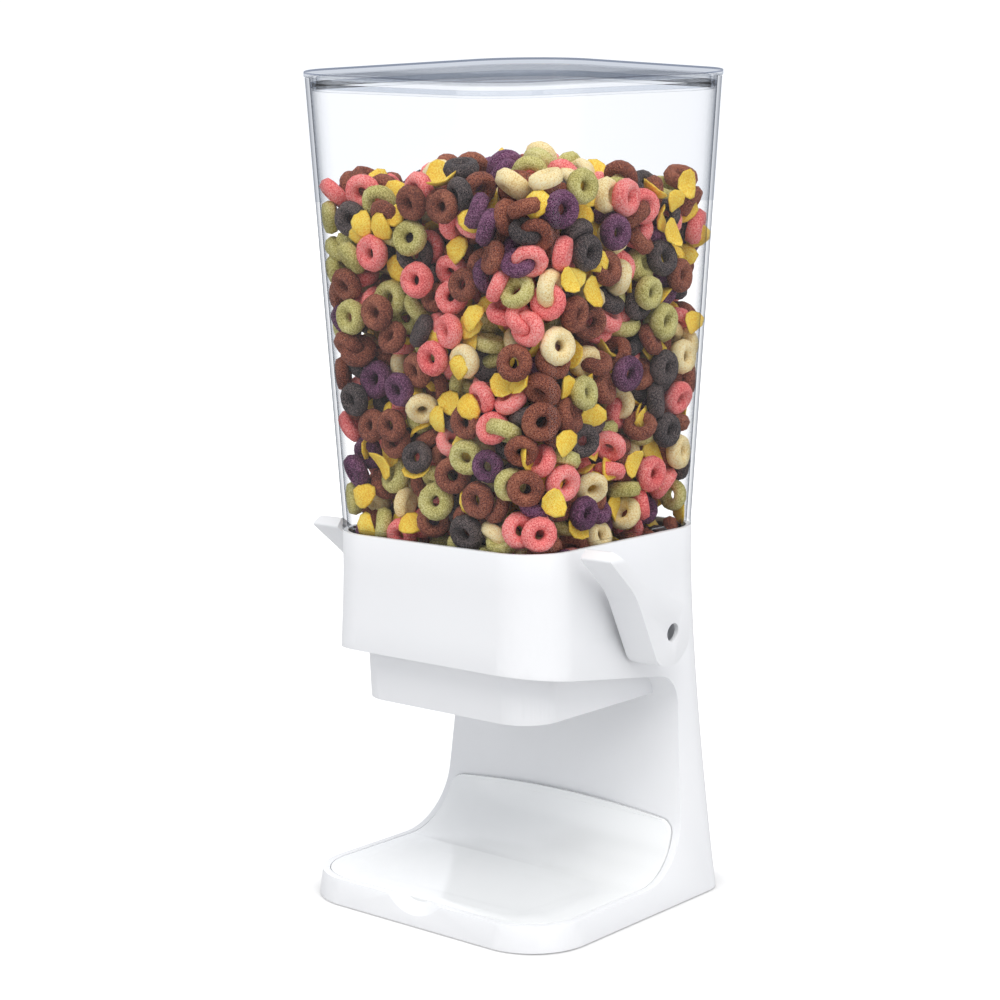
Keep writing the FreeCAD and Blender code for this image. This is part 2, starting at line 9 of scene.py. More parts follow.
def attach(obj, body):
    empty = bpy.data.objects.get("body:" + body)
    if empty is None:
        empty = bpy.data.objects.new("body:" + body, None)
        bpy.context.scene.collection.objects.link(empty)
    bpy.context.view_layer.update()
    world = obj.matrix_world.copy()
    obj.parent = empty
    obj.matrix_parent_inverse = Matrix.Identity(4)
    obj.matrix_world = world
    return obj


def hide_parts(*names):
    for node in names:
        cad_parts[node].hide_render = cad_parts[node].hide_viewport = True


# Lever cereal dispenser: clear tapered hopper on a white moulded stand, with a bowl space
# and a catch tray below. Metres, +Z up, -Y is the front, origin on the floor.
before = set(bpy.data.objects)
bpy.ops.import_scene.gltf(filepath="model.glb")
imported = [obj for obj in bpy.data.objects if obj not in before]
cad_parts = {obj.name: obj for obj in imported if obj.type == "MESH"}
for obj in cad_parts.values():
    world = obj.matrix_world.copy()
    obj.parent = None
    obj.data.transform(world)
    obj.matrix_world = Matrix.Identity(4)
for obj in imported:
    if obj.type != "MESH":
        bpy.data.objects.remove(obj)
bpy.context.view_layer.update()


# ---- Camera ----
# Three-quarter view from the front right, a little above the middle, through a long lens.
view_turn = math.radians(40.40)
view_dip = math.radians(8.21)
view_roll = math.radians(-0.497)
view_place = (0.6604, -0.7892, 0.3431)

lens = bpy.data.cameras.new("view")
lens.lens = 76.87
lens.sensor_width = 36.0
lens.clip_end = 200.0
camera = bpy.data.objects.new("view", lens)
bpy.context.scene.collection.objects.link(camera)
bpy.context.scene.camera = camera
forward = Vector((
    -math.sin(view_turn) * math.cos(view_dip),
    math.cos(view_turn) * math.cos(view_dip),
    -math.sin(view_dip),
))
level_right = Vector((math.cos(view_turn), math.sin(view_turn), 0))
level_up = level_right.cross(forward)
right = level_right * math.cos(view_roll) + level_up * math.sin(view_roll)
up = level_up * math.cos(view_roll) - level_right * math.sin(view_roll)
camera.matrix_world = Matrix.Translation(view_place) @ Matrix((
    (right.x, up.x, -forward.x, 0),
    (right.y, up.y, -forward.y, 0),
    (right.z, up.z, -forward.z, 0),
    (0, 0, 0, 1),
))


# ---- Floor and studio light ----
# A white sweep that runs out of sight, lit by a pale sky and three soft boxes.
floor_mesh = bpy.data.meshes.new("floor")
floor_mesh.from_pydata(
    [(-60, -60, 0), (60, -60, 0), (60, 60, 0), (-60, 60, 0)], [], [(0, 1, 2, 3)]
)
floor = bpy.data.objects.new("floor", floor_mesh)
bpy.context.scene.collection.objects.link(floor)
floor_paint = bpy.data.materials.new("studio_floor")
floor_paint.use_nodes = True
floor_shader = floor_paint.node_tree.nodes["Principled BSDF"]
floor_shader.inputs["Base Color"].default_value = (0.62, 0.62, 0.62, 1)
floor_shader.inputs["Roughness"].default_value = 0.9
floor_shader.inputs["Specular IOR Level"].default_value = 0.1
floor_tree = floor_paint.node_tree
floor_path = floor_tree.nodes.new("ShaderNodeLightPath")
# the sweep glows to the camera so that it reads white; close round the base the glow is
# lowered, which paints shade there and deepens the contact shadow
inside_base = (0.062, 0.056, 0.0)
glow_starts, glow_is_full = 0.012, 0.040
glow_in_painted_shade, glow_most = 0.22, 0.62
floor_place = floor_tree.nodes.new("ShaderNodeTexCoord")
floor_size = floor_tree.nodes.new("ShaderNodeVectorMath")
floor_size.operation = "ABSOLUTE"
floor_out = floor_tree.nodes.new("ShaderNodeVectorMath")
floor_out.operation = "SUBTRACT"
floor_out.inputs[1].default_value = inside_base
floor_corner = floor_tree.nodes.new("ShaderNodeVectorMath")
floor_corner.operation = "MAXIMUM"
floor_corner.inputs[1].default_value = (0.0, 0.0, 0.0)
floor_far = floor_tree.nodes.new("ShaderNodeVectorMath")
floor_far.operation = "LENGTH"
painted_shade_falloff = floor_tree.nodes.new("ShaderNodeMapRange")
painted_shade_falloff.interpolation_type = "SMOOTHSTEP"
painted_shade_falloff.inputs["From Min"].default_value = glow_starts
painted_shade_falloff.inputs["From Max"].default_value = glow_is_full
painted_shade_falloff.inputs["To Min"].default_value = glow_in_painted_shade
painted_shade_falloff.inputs["To Max"].default_value = glow_most
floor_glow = floor_tree.nodes.new("ShaderNodeMath")
floor_glow.operation = "MULTIPLY"
floor_tree.links.new(floor_place.outputs["Object"], floor_size.inputs[0])
floor_tree.links.new(floor_size.outputs[0], floor_out.inputs[0])
floor_tree.links.new(floor_out.outputs[0], floor_corner.inputs[0])
floor_tree.links.new(floor_corner.outputs[0], floor_far.inputs[0])
floor_tree.links.new(floor_far.outputs["Value"], painted_shade_falloff.inputs["Value"])
floor_tree.links.new(painted_shade_falloff.outputs["Result"], floor_glow.inputs[1])
floor_tree.links.new(floor_path.outputs["Is Camera Ray"], floor_glow.inputs[0])
floor_tree.links.new(floor_glow.outputs[0], floor_shader.inputs["Emission Strength"])
floor_shader.inputs["Emission Color"].default_value = (1, 1, 1, 1)
floor_mesh.materials.append(floor_paint)

sky = bpy.data.worlds.new("studio")
bpy.context.scene.world = sky
sky.use_nodes = True
sky_tree = sky.node_tree
sky_shade = sky_tree.nodes["Background"]
sky_path = sky_tree.nodes.new("ShaderNodeLightPath")
# the sky is brighter to the camera and in reflections than as a lamp
sky_level = sky_tree.nodes.new("ShaderNodeMapRange")
sky_level.inputs["To Min"].default_value = 0.68
sky_level.inputs["To Max"].default_value = 1.1
sky_seen = sky_tree.nodes.new("ShaderNodeMath")
sky_seen.operation = "MAXIMUM"
sky_tree.links.new(sky_path.outputs["Is Camera Ray"], sky_seen.inputs[0])
sky_tree.links.new(sky_path.outputs["Is Glossy Ray"], sky_seen.inputs[1])
sky_tree.links.new(sky_seen.outputs[0], sky_level.inputs["Value"])
sky_tree.links.new(sky_level.outputs["Result"], sky_shade.inputs["Strength"])
sky_shade.inputs["Color"].default_value = (0.955, 0.975, 1.02, 1)
bpy.context.scene.view_settings.view_transform = "Standard"

key = bpy.data.lights.new("key", "SUN")
key.energy = 1.8
key.color = (1.0, 0.975, 0.94)
key.angle = math.radians(50)
key_light = bpy.data.objects.new("key", key)
bpy.context.scene.collection.objects.link(key_light)
key_from = Vector((0.38, -0.42, 0.90))
key_light.matrix_world = key_from.to_track_quat("Z", "Y").to_matrix().to_4x4()

strip = bpy.data.lights.new("strip", "AREA")
strip.shape = "RECTANGLE"
strip.size, strip.size_y = 0.35, 1.4
strip.energy = 2.0
strip_light = bpy.data.objects.new("strip", strip)
bpy.context.scene.collection.objects.link(strip_light)
strip_aim = Vector((1.2, -0.15, 0.75))
strip_light.matrix_world = (
    Matrix.Translation(strip_aim)
    @ (strip_aim - Vector((0, 0, 0.25))).to_track_quat("Z", "Y").to_matrix().to_4x4()
)

fill = bpy.data.lights.new("fill", "AREA")
fill.shape = "RECTANGLE"
fill.size, fill.size_y = 1.2, 0.7
fill.energy = 1.2
fill_light = bpy.data.objects.new("fill", fill)
bpy.context.scene.collection.objects.link(fill_light)
fill_aim = Vector((-0.7, -1.3, 0.38))
fill_light.matrix_world = (
    Matrix.Translation(fill_aim)
    @ (fill_aim - Vector((0, 0, 0.08))).to_track_quat("Z", "Y").to_matrix().to_4x4()
)


# ---- Stand shell ----
# One injection-moulded white shell: the housing that holds the hopper, the hollow column
# behind the bowl space, and the base. Everything else is fixed to it.
def new_group(name, inputs, outputs):
    """A shader node group with named sockets, and its own input and output nodes."""
    group = bpy.data.node_groups.new(name, "ShaderNodeTree")
    for label, kind, value in inputs:
        socket = group.interface.new_socket(label, in_out="INPUT", socket_type=kind)
        socket.default_value = value
    for label, kind in outputs:
        group.interface.new_socket(label, in_out="OUTPUT", socket_type=kind)
    entry = group.nodes.new("NodeGroupInput")
    leave = group.nodes.new("NodeGroupOutput")
    return group, entry, leave


# moulded_skin: the faint orange peel, flow marks and handling haze of injection-moulded plastic
skin, skin_in, skin_out = new_group(
    "moulded_skin",
    [("Colour", "NodeSocketColor", (1, 1, 1, 1)), ("Gloss", "NodeSocketFloat", 0.3),
     ("Peel", "NodeSocketFloat", 0.1), ("Haze", "NodeSocketFloat", 0.1)],
    [("Colour", "NodeSocketColor"), ("Roughness", "NodeSocketFloat"),
     ("Height", "NodeSocketFloat")],
)
place = skin.nodes.new("ShaderNodeTexCoord")
peel = skin.nodes.new("ShaderNodeTexNoise")
peel.inputs["Scale"].default_value = 900.0
peel.inputs["Detail"].default_value = 3.0
cloud = skin.nodes.new("ShaderNodeTexNoise")
cloud.inputs["Scale"].default_value = 16.0
cloud.inputs["Detail"].default_value = 4.0
peel_depth = skin.nodes.new("ShaderNodeMath")
peel_depth.operation = "MULTIPLY"
haze_span = skin.nodes.new("ShaderNodeMath")
haze_span.operation = "MULTIPLY_ADD"
tint = skin.nodes.new("ShaderNodeMix")
tint.data_type = "RGBA"
tint.blend_type = "MULTIPLY"
tint.inputs["B"].default_value = (0.955, 0.96, 0.965, 1)
skin.links.new(place.outputs["Object"], peel.inputs["Vector"])
skin.links.new(place.outputs["Object"], cloud.inputs["Vector"])
skin.links.new(peel.outputs["Fac"], peel_depth.inputs[0])
skin.links.new(skin_in.outputs["Peel"], peel_depth.inputs[1])
skin.links.new(cloud.outputs["Fac"], haze_span.inputs[0])
skin.links.new(skin_in.outputs["Haze"], haze_span.inputs[1])
skin.links.new(skin_in.outputs["Gloss"], haze_span.inputs[2])
skin.links.new(cloud.outputs["Fac"], tint.inputs["Factor"])
skin.links.new(skin_in.outputs["Colour"], tint.inputs["A"])
skin.links.new(tint.outputs["Result"], skin_out.inputs["Colour"])
skin.links.new(haze_span.outputs[0], skin_out.inputs["Roughness"])
skin.links.new(peel_depth.outputs[0], skin_out.inputs["Height"])


def moulded(name, colour, gloss, peel_height, haze, coat=0.0):
    """A moulded plastic or rubber from the moulded_skin group."""
    material = bpy.data.materials.new(name)
    material.use_nodes = True
    tree = material.node_tree
    shader = tree.nodes["Principled BSDF"]
    surface = tree.nodes.new("ShaderNodeGroup")
    surface.node_tree = skin
    surface.inputs["Colour"].default_value = (*colour, 1)
    surface.inputs["Gloss"].default_value = gloss
    surface.inputs["Peel"].default_value = peel_height
    surface.inputs["Haze"].default_value = haze
    bump = tree.nodes.new("ShaderNodeBump")
    bump.inputs["Strength"].default_value = 0.25
    bump.inputs["Distance"].default_value = 0.0001
    tree.links.new(surface.outputs["Colour"], shader.inputs["Base Color"])
    tree.links.new(surface.outputs["Roughness"], shader.inputs["Roughness"])
    tree.links.new(surface.outputs["Height"], bump.inputs["Height"])
    tree.links.new(bump.outputs["Normal"], shader.inputs["Normal"])
    shader.inputs["Coat Weight"].default_value = coat
    shader.inputs["Coat Roughness"].default_value = 0.08
    return material


def paint(piece, material):
    """Gives a piece its one material."""
    piece.data.materials.clear()
    piece.data.materials.append(material)


same_place = 2e-6
same_plane = math.radians(0.6)
sharp_turn = math.radians(32.0)


def softened(node, name, edge):
    """A copy of a CAD node, its facets merged and its sharp edges rounded by edge metres."""
    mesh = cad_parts[node].data.copy()
    mesh.name = name
    work = bmesh.new()
    work.from_mesh(mesh)
    bmesh.ops.remove_doubles(work, verts=work.verts, dist=same_place)
    bmesh.ops.dissolve_limit(work, angle_limit=same_plane, verts=work.verts, edges=work.edges)
    work.to_mesh(mesh)
    work.free()
    piece = bpy.data.objects.new(name, mesh)
    bpy.context.scene.collection.objects.link(piece)
    bevel = piece.modifiers.new("edge", "BEVEL")
    bevel.width = edge
    bevel.segments = 3
    bevel.limit_method = "ANGLE"
    bevel.angle_limit = sharp_turn
    graph = bpy.context.evaluated_depsgraph_get()
    finished = bpy.data.meshes.new_from_object(piece.evaluated_get(graph))
    piece.modifiers.clear()
    piece.data = finished
    finished.name = name
    finished.shade_smooth()
    finished.set_sharp_from_angle(angle=sharp_turn)
    return piece


white_plastic = moulded(
    "white_plastic", (0.89, 0.897, 0.912), gloss=0.3, peel_height=0.2, haze=0.12, coat=0.15
)
stand = softened("stand_shell", "stand_moulding", 0.0006)
paint(stand, white_plastic)
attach(stand, "stand")
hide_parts("stand_shell")


# ---- Rear cover, base plate and feet ----
# A white moulded cover closes the back of the column and a duller plate closes the underside;
# both are screwed on. Four thin rubber discs are glued into the plate's recesses.
base_plastic = moulded(
    "base_plastic", (0.8, 0.81, 0.825), gloss=0.5, peel_height=0.5, haze=0.15
)
foot_rubber = moulded("foot_rubber", (0.3, 0.31, 0.33), gloss=0.7, peel_height=1.0, haze=0.1)
paint(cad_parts["rear_cover"], white_plastic)
paint(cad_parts["base_plate"], base_plastic)
paint(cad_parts["rubber_feet"], foot_rubber)


# ---- Outlet chute ----
# White moulded collar under the housing that guides the falling cereal. Its flange lies on
# the housing's floor, held by the four long screws.
chute = softened("outlet_chute", "chute_collar", 0.0005)
paint(chute, white_plastic)
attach(chute, "stand")
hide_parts("outlet_chute")


# ---- Levers ----
# Two white moulded press levers, one the mirror of the other, on the flats of the shaft's
# ends. A screw in the recess of each hub holds them.
for side in ("left", "right"):
    piece = softened("lever_" + side, "lever_moulding_" + side, 0.0005)
    paint(piece, white_plastic)
    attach(piece, "gate")
    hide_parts("lever_" + side)


# ---- Catch tray ----
# Glossy white moulded tray for what misses the bowl. It lies loose on the base, with an
# arched lip against the foot of the column.
tray_plastic = moulded(
    "tray_plastic", (0.91, 0.922, 0.922), gloss=0.12, peel_height=0.05, haze=0.08, coat=0.6
)
tray = softened("catch_tray", "tray_moulding", 0.0005)
paint(tray, tray_plastic)
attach(tray, "tray")
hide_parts("catch_tray")


# ---- Funnel, flap and seal ----
# White moulded funnel on four legs over the chute, screwed down from below, and the moulded
# flap on the shaft that closes it. A soft silicone ring is bonded on top of the flap's edge.
inner_plastic = moulded(
    "inner_plastic", (0.87, 0.88, 0.89), gloss=0.28, peel_height=0.1, haze=0.12
)
seal_silicone = moulded(
    "seal_silicone", (0.6, 0.62, 0.65), gloss=0.5, peel_height=0.5, haze=0.1
)
paint(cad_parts["funnel"], inner_plastic)
paint(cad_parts["gate_flap"], inner_plastic)
paint(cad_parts["flap_seal"], seal_silicone)


# ---- Shaft and bushes ----
# Drawn steel rod with a flat on each end. It turns in two flanged nylon bushes pressed into
# the side walls of the housing.
bush_plastic = moulded("bush_plastic", (0.78, 0.77, 0.72), gloss=0.45, peel_height=0.3, haze=0.1)
paint(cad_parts["shaft_bush_right"], bush_plastic)
paint(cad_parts["shaft_bush_left"], bush_plastic)

# drawn_lines: fine scratches that run along the axis with the smallest stretch
drawn, drawn_in, drawn_out = new_group(
    "drawn_lines",
    [("Stretch", "NodeSocketVector", (1, 1, 1))],
    [("Lines", "NodeSocketFloat")],
)
place = drawn.nodes.new("ShaderNodeTexCoord")
stretched = drawn.nodes.new("ShaderNodeMapping")
lines = drawn.nodes.new("ShaderNodeTexNoise")
lines.inputs["Scale"].default_value = 700.0
drawn.links.new(place.outputs["Object"], stretched.inputs["Vector"])
drawn.links.new(drawn_in.outputs["Stretch"], stretched.inputs["Scale"])
drawn.links.new(stretched.outputs["Vector"], lines.inputs["Vector"])
drawn.links.new(lines.outputs["Fac"], drawn_out.inputs["Lines"])


def steel(name, colour, rough, stretch):
    """Drawn or plated steel: fine scratches and a little uneven polish round rough."""
    material = bpy.data.materials.new(name)
    material.use_nodes = True
    tree = material.node_tree
    shader = tree.nodes["Principled BSDF"]
    shader.inputs["Metallic"].default_value = 1.0
    shader.inputs["Base Color"].default_value = (*colour, 1)
    scratches = tree.nodes.new("ShaderNodeGroup")
    scratches.node_tree = drawn
    scratches.inputs["Stretch"].default_value = stretch
    spread = tree.nodes.new("ShaderNodeMapRange")
    spread.inputs["To Min"].default_value = rough - 0.08
    spread.inputs["To Max"].default_value = rough + 0.1
    bump = tree.nodes.new("ShaderNodeBump")
    bump.inputs["Strength"].default_value = 0.15
    bump.inputs["Distance"].default_value = 0.00005
    tree.links.new(scratches.outputs["Lines"], spread.inputs["Value"])
    tree.links.new(spread.outputs["Result"], shader.inputs["Roughness"])
    tree.links.new(scratches.outputs["Lines"], bump.inputs["Height"])
    tree.links.new(bump.outputs["Normal"], shader.inputs["Normal"])
    return material


shaft_steel = steel("shaft_steel", (0.62, 0.63, 0.65), 0.25, (0.05, 1, 1))
paint(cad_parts["cross_shaft"], shaft_steel)


# ---- Springs ----
# Two torsion springs of bright spring wire, coiled round the shaft. The rear leg of each rests
# on a leg of the funnel, and the front one lies under the flap and pushes it shut.
spring_steel = steel("spring_steel", (0.48, 0.49, 0.51), 0.3, (1, 1, 1))
spring_sharp_turn = math.radians(40)
for side in ("left", "right"):
    wire = bmesh.new()
    wire.from_mesh(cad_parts["torsion_spring_" + side].data)
    bmesh.ops.remove_doubles(wire, verts=wire.verts, dist=same_place)
    wire.verts.index_update()
    # the leg is all that hangs together with the foremost point
    front = min(wire.verts, key=lambda v: v.co.y)
    leg = {front}
    waiting = [front]
    while waiting:
        for edge in waiting.pop().link_edges:
            for vert in edge.verts:
                if vert not in leg:
                    leg.add(vert)
                    waiting.append(vert)
    # the leg goes down with the flap; the coils and the other leg stay
    for name, dropped, body in (
        ("spring_leg_" + side, [v for v in wire.verts if v not in leg], "gate"),
        ("spring_coils_" + side, list(leg), "stand"),
    ):
        kept = wire.copy()
        kept.verts.ensure_lookup_table()
        bmesh.ops.delete(kept, geom=[kept.verts[v.index] for v in dropped], context="VERTS")
        mesh = bpy.data.meshes.new(name)
        kept.to_mesh(mesh)
        kept.free()
        mesh.shade_smooth()
        mesh.set_sharp_from_angle(angle=spring_sharp_turn)
        piece = bpy.data.objects.new(name, mesh)
        bpy.context.scene.collection.objects.link(piece)
        paint(piece, spring_steel)
        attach(piece, body)
        if body == "stand":
            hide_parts("torsion_spring_" + side)
    wire.free()


# ---- Screws ----
# Plated steel screws: four in the rear cover, four in the base plate, four long ones up
# through the housing's floor, and one in each lever's hub.
screw_steel = steel("screw_steel", (0.52, 0.53, 0.55), 0.32, (1, 1, 1))
for node in ("rear_cover_screws", "base_screws", "housing_screws", "lever_screws"):
    paint(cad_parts[node], screw_steel)


# ---- Hopper ----
# Clear injection-moulded shell, wider at the top, with a flange that rests on the stand's
# rim and a skirt that drops inside it. It lifts off by hand.
def ring_solid(name, profile, edge, closed=True, turns=14):
    """Rounded-square solid from (half width, corner centre, height) profile points in mm.

    Every profile corner is rounded by edge. An open profile is capped at both ends.
    """
    smooth = []
    count = len(profile)
    for i, point in enumerate(profile):
        here = Vector(point)
        if not closed and i in (0, count - 1):
            smooth.append(here)
            continue
        back = Vector(profile[i - 1]) - here
        ahead = Vector(profile[(i + 1) % count]) - here
        cut = min(edge, back.length * 0.45, ahead.length * 0.45)
        start = here + back.normalized() * cut
        end = here + ahead.normalized() * cut
        for t in (0.0, 0.5, 1.0):
            smooth.append((1 - t) ** 2 * start + 2 * t * (1 - t) * here + t * t * end)
    points = []
    for half, centre, height in smooth:
        for quarter in range(4):
            sx = (1, -1, -1, 1)[quarter]
            sy = (1, 1, -1, -1)[quarter]
            for k in range(turns + 1):
                turn = (quarter + k / turns) * math.pi / 2
                radius = half - centre
                x = sx * centre + radius * math.cos(turn)
                y = sy * centre + radius * math.sin(turn)
                points.append((x / 1000, y / 1000, height / 1000))
    around = 4 * (turns + 1)
    rows = len(smooth)
    faces = []
    for j in range(rows if closed else rows - 1):
        for i in range(around):
            n = (i + 1) % around
            m = (j + 1) % rows
            faces.append((j * around + i, j * around + n, m * around + n, m * around + i))
    if not closed:
        faces.append(tuple(reversed(range(around))))
        faces.append(tuple((rows - 1) * around + i for i in range(around)))
    mesh = bpy.data.meshes.new(name)
    mesh.from_pydata(points, [], faces)
    work = bmesh.new()
    work.from_mesh(mesh)
    bmesh.ops.recalc_face_normals(work, faces=work.faces)
    work.to_mesh(mesh)
    work.free()
    mesh.shade_smooth()
    mesh.set_sharp_from_angle(angle=math.radians(38))
    piece = bpy.data.objects.new(name, mesh)
    bpy.context.scene.collection.objects.link(piece)
    return piece


# slow_ripple: the slight unevenness of a moulded clear wall
ripple_group, ripple_in, ripple_out = new_group(
    "slow_ripple",
    [("Ripples per metre", "NodeSocketFloat", 30.0)],
    [("Height", "NodeSocketFloat")],
)
place = ripple_group.nodes.new("ShaderNodeTexCoord")
wave = ripple_group.nodes.new("ShaderNodeTexNoise")
ripple_group.links.new(place.outputs["Object"], wave.inputs["Vector"])
ripple_group.links.new(ripple_in.outputs["Ripples per metre"], wave.inputs["Scale"])
ripple_group.links.new(wave.outputs["Fac"], ripple_out.inputs["Height"])


def clear(name, tone, painted_edge_tone, edge_power, gloss, level_share=1.0, painted_rim_line=None):
    """Clear plastic: it passes light straight on, reflects, and carries painted darkening where
    seen edge on.

    level_share is how much of the painted edge darkening level faces take. The last argument,
    if given, is (height, tone): upright faces above that height get a painted dark edge line.
    """
    material = bpy.data.materials.new(name)
    material.use_nodes = True
    tree = material.node_tree
    new, link = tree.nodes.new, tree.links.new
    tree.nodes.remove(tree.nodes["Principled BSDF"])
    geometry = new("ShaderNodeNewGeometry")

    # 1 on upright faces, level_share on level ones
    lean = new("ShaderNodeSeparateXYZ")
    steep = new("ShaderNodeMath")
    steep.operation = "ABSOLUTE"
    upright = new("ShaderNodeMath")
    upright.operation = "LESS_THAN"
    upright.inputs[1].default_value = 0.8
    share = new("ShaderNodeMapRange")
    share.inputs["To Min"].default_value = level_share
    link(geometry.outputs["Normal"], lean.inputs[0])
    link(lean.outputs["Z"], steep.inputs[0])
    link(steep.outputs[0], upright.inputs[0])
    link(upright.outputs[0], share.inputs["Value"])

    # painted dark edge where the wall is seen edge on: it stands in for the dark line refraction
    # gives there
    facing = new("ShaderNodeLayerWeight")
    facing.inputs["Blend"].default_value = 0.5
    curve = new("ShaderNodeMath")
    curve.operation = "POWER"
    curve.inputs[1].default_value = edge_power
    painted_edge_darkening = new("ShaderNodeMath")
    painted_edge_darkening.operation = "MULTIPLY"
    shade = new("ShaderNodeMix")
    shade.data_type = "RGBA"
    shade.inputs["A"].default_value = (*tone, 1)
    shade.inputs["B"].default_value = (*painted_edge_tone, 1)
    link(facing.outputs["Facing"], curve.inputs[0])
    link(curve.outputs[0], painted_edge_darkening.inputs[0])
    link(share.outputs["Result"], painted_edge_darkening.inputs[1])
    link(painted_edge_darkening.outputs[0], shade.inputs["Factor"])
    seen = shade.outputs["Result"]
    # upright faces above the given height get a painted dark line, standing in for the lid's
    # dark edge
    if painted_rim_line:
        height, painted_rim_tone = painted_rim_line
        place = new("ShaderNodeTexCoord")
        where = new("ShaderNodeSeparateXYZ")
        above = new("ShaderNodeMath")
        above.operation = "GREATER_THAN"
        above.inputs[1].default_value = height
        both = new("ShaderNodeMath")
        both.operation = "MULTIPLY"
        line = new("ShaderNodeMix")
        line.data_type = "RGBA"
        line.inputs["B"].default_value = (*painted_rim_tone, 1)
        link(place.outputs["Object"], where.inputs[0])
        link(where.outputs["Z"], above.inputs[0])
        link(above.outputs[0], both.inputs[0])
        link(upright.outputs[0], both.inputs[1])
        link(both.outputs[0], line.inputs["Factor"])
        link(seen, line.inputs["A"])
        seen = line.outputs["Result"]

    # light on its way to the cereal is not darkened
    path = new("ShaderNodeLightPath")
    lit = new("ShaderNodeMix")
    lit.data_type = "RGBA"
    lit.inputs["B"].default_value = (0.98, 0.985, 0.99, 1)
    through = new("ShaderNodeBsdfTransparent")
    link(path.outputs["Is Shadow Ray"], lit.inputs["Factor"])
    link(seen, lit.inputs["A"])
    link(lit.outputs["Result"], through.inputs["Color"])

    # only outer faces reflect, and less than bare Fresnel would
    fresnel = new("ShaderNodeFresnel")
    fresnel.inputs["IOR"].default_value = 1.5
    outer = new("ShaderNodeMath")
    outer.operation = "SUBTRACT"
    outer.inputs[0].default_value = 1.0
    shown = new("ShaderNodeMath")
    shown.operation = "MULTIPLY"
    amount = new("ShaderNodeMath")
    amount.operation = "MULTIPLY"
    amount.inputs[1].default_value = 0.4
    link(geometry.outputs["Backfacing"], outer.inputs[1])
    link(fresnel.outputs[0], shown.inputs[0])
    link(outer.outputs[0], shown.inputs[1])
    link(shown.outputs[0], amount.inputs[0])

    shine = new("ShaderNodeBsdfGlossy")
    shine.inputs["Roughness"].default_value = gloss
    surface = new("ShaderNodeGroup")
    surface.node_tree = ripple_group
    bump = new("ShaderNodeBump")
    bump.inputs["Strength"].default_value = 0.06
    bump.inputs["Distance"].default_value = 0.002
    blend = new("ShaderNodeMixShader")
    link(surface.outputs["Height"], bump.inputs["Height"])
    link(bump.outputs["Normal"], shine.inputs["Normal"])
    link(amount.outputs[0], blend.inputs[0])
    link(through.outputs[0], blend.inputs[1])
    link(shine.outputs[0], blend.inputs[2])
    link(blend.outputs[0], tree.nodes["Material Output"].inputs["Surface"])
    return material


# the slate edge tone paints a dark line where the hopper wall is seen edge on
clear_plastic = clear(
    "clear_plastic", (0.994, 0.994, 0.994), (0.08, 0.11, 0.16), 4.0, 0.04, level_share=0.15
)

# widths are half widths, corners are the place of a corner's centre, all in mm
skirt_low, flange_low, flange_top, wall_top, lid_top = 176.0, 182.0, 183.3, 397.0, 400.0
skirt_out, skirt_in, skirt_corner = 64.4, 62.4, 42.8
flange_out, flange_corner = 67.45, 42.75
rim_out, rim_corner = 80.75, 45.15
wall_step, wall_inside = 0.3, 2.3
rise = (wall_top - flange_top) / (lid_top - flange_top)
top_half = flange_out + (rim_out - flange_out) * rise
top_corner = flange_corner + (rim_corner - flange_corner) * rise
hopper = ring_solid(
    "hopper_shell",
    [
        (skirt_out, skirt_corner, skirt_low),
        (skirt_out, skirt_corner, flange_low),
        (flange_out, flange_corner, flange_low),
        (flange_out, flange_corner, flange_top),
        (flange_out - wall_step, flange_corner, flange_top),
        (top_half - wall_step, top_corner, wall_top),
        (top_half - wall_inside, top_corner, wall_top),
        (flange_out - wall_inside, flange_corner, flange_top),
        (skirt_in, skirt_corner, flange_top),
        (skirt_in, skirt_corner, skirt_low),
    ],
    0.4,
)
paint(hopper, clear_plastic)
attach(hopper, "hopper")
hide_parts("hopper")


# ---- Hopper ring ----
# Thin clear silicone band stretched round the skirt. It keeps the hopper from rattling in
# the stand.
# the grey-blue edge tone paints a dark line where the band is seen edge on
silicone = clear("clear_silicone", (0.86, 0.88, 0.91), (0.35, 0.39, 0.46), 3.0, 0.3)
ring_low, ring_top, ring_thickness = 177.5, 179.7, 0.35
seal = ring_solid(
    "hopper_ring",
    [
        (skirt_out + ring_thickness, skirt_corner, ring_low),
        (skirt_out + ring_thickness, skirt_corner, ring_top),
        (skirt_out, skirt_corner, ring_top),
        (skirt_out, skirt_corner, ring_low),
    ],
    0.1,
)
paint(seal, silicone)
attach(seal, "hopper")
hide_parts("hopper_seal")


# ---- Lid ----
# Clear moulded plate, a little bluer than the hopper, with a plug that drops inside the
# hopper's rim. It lifts off by hand.
# the grey edge tone and the slate tone on the top edge are painted dark lines at the lid's clear
# edges
lid_plastic = clear(
    "lid_clear_plastic", (0.97, 0.975, 0.98), (0.50, 0.53, 0.58), 4.0, 0.05,
    level_share=0.9, painted_rim_line=(0.3990, (0.38, 0.41, 0.48)),
)
lid_slope, plate_low, plug_low = 1.35, 397.3, 390.9
plug_out, plug_in = 76.9, 75.1
lid = ring_solid(
    "lid_plate",
    [
        (rim_out - lid_slope, rim_corner, lid_top),
        (rim_out, rim_corner, lid_top),
        (rim_out, rim_corner, plate_low),
        (plug_out, rim_corner, plate_low),
        (plug_out, rim_corner, plug_low),
        (plug_in, rim_corner, plug_low),
        (plug_in, rim_corner, plate_low),
    ],
    0.5,
    closed=False,
)
paint(lid, lid_plastic)
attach(lid, "lid")
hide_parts("lid")


